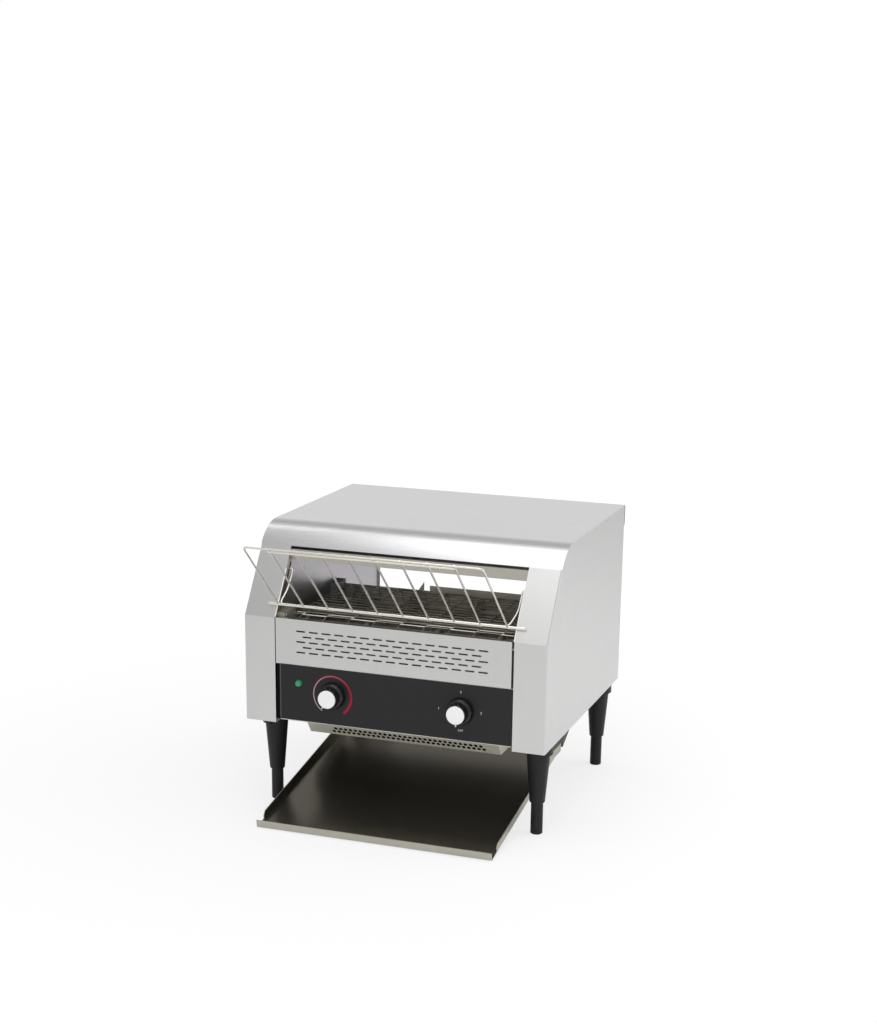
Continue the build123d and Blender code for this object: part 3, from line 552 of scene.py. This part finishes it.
# One folded sheet: its outer skin is bare steel, its inner skin is coated.
tray_mesh = bpy.data.meshes.new("tray_sheet")
shape = bmesh.new()
rows = [0.0, RIM_START, RIM_START + RIM / 2, TRAY_LENGTH]
floor_left = [shape.verts.new(on_tray(-HALF_TRAY, u, 0)) for u in rows]
floor_right = [shape.verts.new(on_tray(HALF_TRAY, u, 0)) for u in rows]
lip = [shape.verts.new(on_tray(x, 0, RIM)) for x in (-HALF_TRAY, HALF_TRAY)]
for a, b, c, d in zip(floor_left, floor_right, floor_right[1:], floor_left[1:]):
    shape.faces.new((a, b, c, d))
shape.faces.new((lip[0], lip[1], floor_right[0], floor_left[0]))
for base, x in ((floor_left, -HALF_TRAY), (floor_right, HALF_TRAY)):
    low = shape.verts.new(on_tray(x, RIM_START, RIM / 2))
    front = shape.verts.new(on_tray(x, RIM_START + RIM / 2, RIM))
    rear = shape.verts.new(on_tray(x, TRAY_LENGTH, RIM))
    for face in ((base[1], base[2], front, low), (base[2], base[3], rear, front)):
        shape.faces.new(face if x < 0 else tuple(reversed(face)))
shape.normal_update()
shape.to_mesh(tray_mesh)
shape.free()
tray = piece("tray_sheet", tray_mesh, tray_coat, "outlet_tray")
tray_mesh.materials.append(tray_steel)
edges(tray, 0.9, 3)
skin = tray.modifiers.new("skin", "SOLIDIFY")
skin.thickness = TRAY_SHEET * MM
skin.offset = 1.0
skin.use_even_offset = True
skin.material_offset = 1
skin.material_offset_rim = 1
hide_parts("toast_tray")

# Each side hangs from an upright tie with a hem that runs on the hanger's rail.
for side, sign in (("left", -1), ("right", 1)):
    tie = rectangle(sign * HALF_TRAY, sign * 184.2, 58, 90)
    plate = prism(f"tray_tie_{side}", tie, 205, 265, tray_steel, "outlet_tray")
    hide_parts("toast_tray")
    hem = rectangle(sign * HALF_TRAY, sign * 191.8, 87.5, 91)
    runner = prism(f"tray_runner_{side}", hem, 145, 265, tray_steel, "outlet_tray", 1.2)
    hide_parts("toast_tray")


# ------------------------------------------------------------------ controls
def dial(prefix, centre, body, pointer):
    """Knob with its skirt, fluted grip, bright cap and a pointer at an angle in degrees."""
    skirt = [(6, -1.5), (20.0, -1.5), (20.3, -2.2), (20.0, -4.5), (18.2, -9.0), (17.4, -9.6), (16.0, -9.9)]
    collar = lathe(f"{prefix}_skirt", centre, skirt + [(6, -9.9)], knob_black, body)
    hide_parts(f"{prefix}_knob")
    grip = [(6, -9.5), (15.9, -9.6), (15.7, -16.0), (15.1, -20.8), (14.4, -21.7), (6, -21.7)]
    knob = lathe(f"{prefix}_grip", centre, grip, knob_black, body, segments=144, flutes=1.1)
    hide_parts(f"{prefix}_knob")
    cap = [(5, -21.7), (13.5, -21.75), (13.6, -23.1), (13.3, -23.7), (12.6, -24.0), (9, -24.0), (0.5, -23.9)]
    face = lathe(f"{prefix}_face", centre, cap, cap_metal, body)
    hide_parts(f"{prefix}_knob_cap")
    turn = math.radians(pointer)
    along = Vector((math.cos(turn), math.sin(turn)))
    across = Vector((-along.y, along.x))
    nib = [Vector(centre) + along * r + across * s for r, s in rectangle(12.5, 17.4, -0.7, 0.7)]
    prism(f"{prefix}_pointer", nib, -21.9, -17, print_white, body, 0.25)


dial("speed", (-93.0, 193.0), "speed_dial", -119)
dial("selector", (106.2, 192.3), "selector_dial", -90)


def arc_band(name, centre, start, end, inner, thin, thick, material, steps=96):
    """Printed arc that widens outwards from one end to the other."""
    mesh = bpy.data.meshes.new(name)
    shape = bmesh.new()
    last = None
    for i in range(steps + 1):
        t = i / steps
        turn = math.radians(start + (end - start) * t)
        width = thin + (thick - thin) * t
        pair = []
        for r in (inner, inner + width):
            u, v = centre[0] + r * math.cos(turn), centre[1] + r * math.sin(turn)
            pair.append(shape.verts.new(lying(u, v, -0.06)))
        if last:
            shape.faces.new((last[0], last[1], pair[1], pair[0]))
        last = pair
    shape.to_mesh(mesh)
    shape.free()
    return piece(name, mesh, material, "chassis")


arc_band("speed_arc", ARC_HUB, -123, -414, 28.7, 0.9, 3.9, arc_print)


def figure(text, x, z, size=5.4):
    """A printed figure beside a dial."""
    font = bpy.data.curves.new(f"figure_{text}", "FONT")
    font.body = text
    font.size = size * MM
    font.align_x = "CENTER"
    font.align_y = "CENTER"
    obj = bpy.data.objects.new(f"figure_{text}", font)
    bpy.context.collection.objects.link(obj)
    font.materials.append(print_white)
    obj.matrix_world = Matrix.Translation(at(x, -0.08, z)) @ Matrix.Rotation(math.radians(90), 4, "X")
    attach(obj, "chassis")


figure("OFF", 106.8, 162.9, 4.6)
figure("1", 73.0, 192.7)
figure("2", 106.6, 220.8)
figure("3", 137.7, 192.4)

# ------------------------------------------------------------------ edges of the body
# The control panel's left return: a near-black sheet as painted shade in the gap, a grey strip beside it
# painted lighter as the highlight on the panel's rounded fold, and a step at its foot.
RETURN_LEFT, RETURN_RIGHT, RETURN_FOOT, RETURN_TOP = -183.8, -177.1, 148.3, 233.6
gap = rectangle(RETURN_LEFT, RETURN_RIGHT, RETURN_FOOT, RETURN_TOP)
prism("left_return", gap, 2.6, 3.8, shadow_black, "chassis")
fold = rectangle(-177.7, -175.9, 148.5, 232.6)
prism("left_return_fold", fold, -0.05, 1.2, fold_highlight_grey, "chassis", 0.4)
step = rectangle(RETURN_LEFT, RETURN_RIGHT, 146.9, RETURN_FOOT)
prism("left_return_foot", step, -0.15, 3.8, panel_black, "chassis")

# The rolled inner edges of the slanted cheeks, painted bright as highlights along the edges.
for side, x in (("left", -184.6), ("right", 184.6)):
    hem_path = [at(x, 0.6, 303.5), at(x, 43.5, 368.2)]
    wires(f"{side}_cheek_hem", [hem_path], 1.0, hem_highlight, "chassis")


def on_pan(u, n):
    """A point (y, z) of the vent pan: u up its sloped front and n behind its face."""
    return PAN_Y + PAN_COS * n - PAN_SIN * u, PAN_Z + PAN_SIN * n + PAN_COS * u


# Painted shade: a near-black sheet behind the vent holes of the pan.
shade_outline = [on_pan(u, n) for u, n in rectangle(3, 33, 2, 2.6)]
prism("vent_shade_sheet", shade_outline, -124, 140, shadow_black, "chassis", 0.2, endways)

front_edge = [at(-176.8, 0.1, 147.6), at(183.6, 0.1, 147.6)]
wires("base_front_edge", [front_edge], 0.6, warm_steel, "chassis")

# ------------------------------------------------------------------ legs and screws
# A leg is a tapered sleeve with a thin flange, a half collar on its outer side and a nut on top.
LEGS = {
    "front_left": (-209, 55),
    "front_right": (209, 55),
    "rear_left": (-209, 390),
    "rear_right": (209, 390),
}
COLLAR_RADIUS, NUT_RADIUS = 21.4, 7.5
half_turn = [math.radians(a) for a in range(-90, 91, 6)]
sixths = [math.radians(a) for a in range(0, 360, 60)]
sleeve = [(4, 150), (4, 141), (19.6, 141), (20, 140.6), (20, 136.6), (19.6, 136.2), (18.3, 136)]
sleeve += [(11.5, 50.2), (11.3, 49.6), (10.7, 49), (9.3, 49)]
for spot, (x, y) in LEGS.items():
    leg = lathe(f"{spot}_sleeve", (x, y), sleeve, leg_black, "chassis", at)
    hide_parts(f"{spot}_leg")
    reach = math.copysign(COLLAR_RADIUS, x)
    collar = [(x + reach * math.cos(a), y + COLLAR_RADIUS * math.sin(a)) for a in half_turn]
    half = prism(f"{spot}_collar", collar, 124.2, 136.4, leg_black, "chassis", 0.5, at)
    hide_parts(f"{spot}_leg")
    nut = [(x + NUT_RADIUS * math.cos(a), y + NUT_RADIUS * math.sin(a)) for a in sixths]
    top = prism(f"{spot}_nut", nut, 142.3, 148.2, screw_steel, "chassis", 0.4, at)
    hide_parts(f"{spot}_leg")

HEAD_PROFILE = ((1, 0), (1, 0.45), (0.93, 0.75), (0.75, 0.93), (0.4, 1.0))
HEAD_SIDES = 24


def screws(name, spots, place, radius, height, node):
    """Domed heads with a cross painted black as the shade of its recess, where place turns (spot, u, v, h)
    into a point.
    """
    shape = bmesh.new()
    for spot in spots:
        rings = []
        for share, rise in HEAD_PROFILE:
            ring = []
            for i in range(HEAD_SIDES):
                turn = 2 * math.pi * i / HEAD_SIDES
                u, v = share * radius * math.cos(turn), share * radius * math.sin(turn)
                ring.append(shape.verts.new(place(spot, u, v, rise * height)))
            rings.append(ring)
        bridge(shape, rings)
        shape.faces.new(rings[-1])
        arm, half = radius * 0.58, radius * 0.11
        for a, b in ((arm, half), (half, arm)):
            square = [place(spot, u, v, height * 1.02) for u, v in rectangle(-a, a, -b, b)]
            face = shape.faces.new([shape.verts.new(corner) for corner in square])
            # Painted shade: the cross is a flat black patch standing for the recess.
            face.material_index = 1
    mesh = closed_mesh(name, shape)
    smooth(mesh, 50)
    heads = piece(name, mesh, screw_steel, "chassis")
    mesh.materials.append(knob_black)
    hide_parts(node)


def facing_down(spot, u, v, h):
    return at(spot[0] + u, spot[1] + v, BASE_UNDER - h)


def facing_back(spot, u, v, h):
    return at(spot[0] + u, BODY_REAR + h, spot[1] + v)


def facing_in(spot, u, v, h):
    return at(BEARING_FACE + h, spot[0] + u, spot[1] + v)


base_spots = [(x, y) for x in (-160, 160) for y in (8, 280)]
rear_spots = [(x, z) for x in (-227, 227) for z in (171, 295, 380)]
bracket_spots = [(y, z) for y in (15, 240) for z in (267, 304)]
screws("base_heads", base_spots, facing_down, 4, 2.2, "base_screws")
screws("rear_heads", rear_spots, facing_back, 4, 2.2, "rear_screws")
screws("bracket_heads", bracket_spots, facing_in, 2.5, 1.6, "bracket_screws")

# ------------------------------------------------------------------ floor
floor_mesh = bpy.data.meshes.new("floor")
floor_mesh.from_pydata([(-6, -4, 0), (6, -4, 0), (6, 8, 0), (-6, 8, 0)], [], [(0, 1, 2, 3)])
floor = bpy.data.objects.new("floor", floor_mesh)
bpy.context.collection.objects.link(floor)
floor_paint = surface(
    "floor_paint", (0.93, 0.93, 0.93), rough=0.7, bump=0.0, blotch=0.0, Specular_IOR_Level=0.2
)
floor_mesh.materials.append(floor_paint)
# The camera sees most of the floor as white, and all of it as white farther out.
tree = floor_paint.node_tree
reach = add(tree, "VectorMath", {0: add(tree, "TexCoord").outputs["Object"]}, operation="LENGTH")
near_and_far = {"From Min": 0.45, "From Max": 1.3, "To Min": 0.7, "To Max": 1.0}
fade = add(tree, "MapRange", {"Value": reach.outputs["Value"], **near_and_far}).outputs["Result"]
share = calculated(tree, "MULTIPLY", add(tree, "LightPath").outputs["Is Camera Ray"], fade)
white = add(tree, "Emission", {"Strength": 1.03}).outputs[0]
painted = tree.nodes["Principled BSDF"].outputs[0]
blend = add(tree, "MixShader", {0: share, 1: painted, 2: white})
tree.links.new(blend.outputs[0], tree.nodes["Material Output"].inputs["Surface"])
floor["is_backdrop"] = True

# ------------------------------------------------------------------ world and lamps
WHITE, SHADE = (1, 1, 1), (0.55, 0.55, 0.55)
world = bpy.data.worlds.new("studio")
bpy.context.scene.world = world
world.use_nodes = True
# Diffuse rays meet a plain level; the camera sees white; metal sees a studio that is bright behind.
tree = world.node_tree
surround = tree.nodes["Background"]
surround.inputs["Color"].default_value = (*WHITE, 1)
surround.inputs["Strength"].default_value = 0.62
way = add(tree, "SeparateXYZ", {0: add(tree, "TexCoord").outputs["Generated"]}).outputs
front_to_back = {"From Min": -0.2, "From Max": 0.85, "To Min": 0.51, "To Max": 0.92}
level = add(tree, "MapRange", {"Value": way["Y"], **front_to_back}).outputs["Result"]
# A darker band half way up behind, which shades the start of the cover's curve.
band = banded(tree, way["Z"], ((0.30, WHITE), (0.50, SHADE), (0.76, SHADE), (0.88, WHITE)))
rear = add(tree, "MapRange", {"Value": way["Y"], "From Min": 0.2, "From Max": 0.5}).outputs["Result"]
shade = mixed(tree, rear, (*WHITE, 1), band)
mirrored = add(tree, "Background", {"Color": shade, "Strength": level})
white = add(tree, "Background", {"Color": (*WHITE, 1)})
ray = add(tree, "LightPath").outputs
shiny = add(tree, "MixShader", {0: ray["Is Glossy Ray"], 1: surround.outputs[0], 2: mirrored.outputs[0]})
seen = add(tree, "MixShader", {0: ray["Is Camera Ray"], 1: shiny.outputs[0], 2: white.outputs[0]})
tree.links.new(seen.outputs[0], tree.nodes["World Output"].inputs["Surface"])


def soft_box(name, place, aim, size, power):
    """Rectangular lamp, of a size in metres and a power in watts, that faces a point."""
    light = bpy.data.lights.new(name, "AREA")
    light.shape = "RECTANGLE"
    light.size, light.size_y = size
    light.energy = power
    obj = bpy.data.objects.new(name, light)
    bpy.context.collection.objects.link(obj)
    turned = (Vector(aim) - Vector(place)).to_track_quat("-Z", "Y")
    obj.matrix_world = Matrix.Translation(Vector(place)) @ turned.to_matrix().to_4x4()


soft_box("key_light", (0.0, -0.35, 1.9), (0.0, -0.35, 0), (1.2, 2.0), 10.4)
soft_box("strip_light", (-0.95, 0.60, 1.9), (-0.2, 0.0, 0.4), (0.5, 0.14), 0.45)
soft_box("side_light", (1.6, 0.8, 1.2), (0.5, 0.4, 0.1), (1.8, 1.6), 11)
soft_box("front_light", (0.5, -3.0, 1.3), (0, 0, 0.25), (1.8, 1.8), 11)

# ------------------------------------------------------------------ camera
# Solved from the photograph: its size, focal length and principal point are in pixels.
PHOTO_WIDTH, PHOTO_HEIGHT, FOCAL = 877, 1024, 1833.52
PRINCIPAL_X, PRINCIPAL_Y = 439.0, 680.0
SENSOR = 36
CAMERA_PLACE = at(917.45, -2381.79, 986.41)
azimuth, elevation, roll = (math.radians(a) for a in (19.52, 16.55, 0.69))
level_reach = math.cos(elevation)
back = Vector((math.sin(azimuth) * level_reach, -math.cos(azimuth) * level_reach, math.sin(elevation)))
side = Vector((math.cos(azimuth), math.sin(azimuth), 0))
up = back.cross(side)
cam_right = math.cos(roll) * side + math.sin(roll) * up
cam_up = -math.sin(roll) * side + math.cos(roll) * up
camera_data = bpy.data.cameras.new("camera")
camera = bpy.data.objects.new("camera", camera_data)
bpy.context.collection.objects.link(camera)
turned = Matrix((cam_right, cam_up, back)).transposed()
camera.matrix_world = Matrix.Translation(CAMERA_PLACE) @ turned.to_4x4()
camera_data.sensor_fit = "VERTICAL"
camera_data.sensor_height = SENSOR
camera_data.lens = FOCAL * SENSOR / PHOTO_HEIGHT
camera_data.shift_x = (PHOTO_WIDTH / 2 - PRINCIPAL_X) / PHOTO_HEIGHT
camera_data.shift_y = (PRINCIPAL_Y - PHOTO_HEIGHT / 2) / PHOTO_HEIGHT
bpy.context.scene.camera = camera

bpy.context.scene.view_settings.view_transform = "Standard"

low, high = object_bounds()
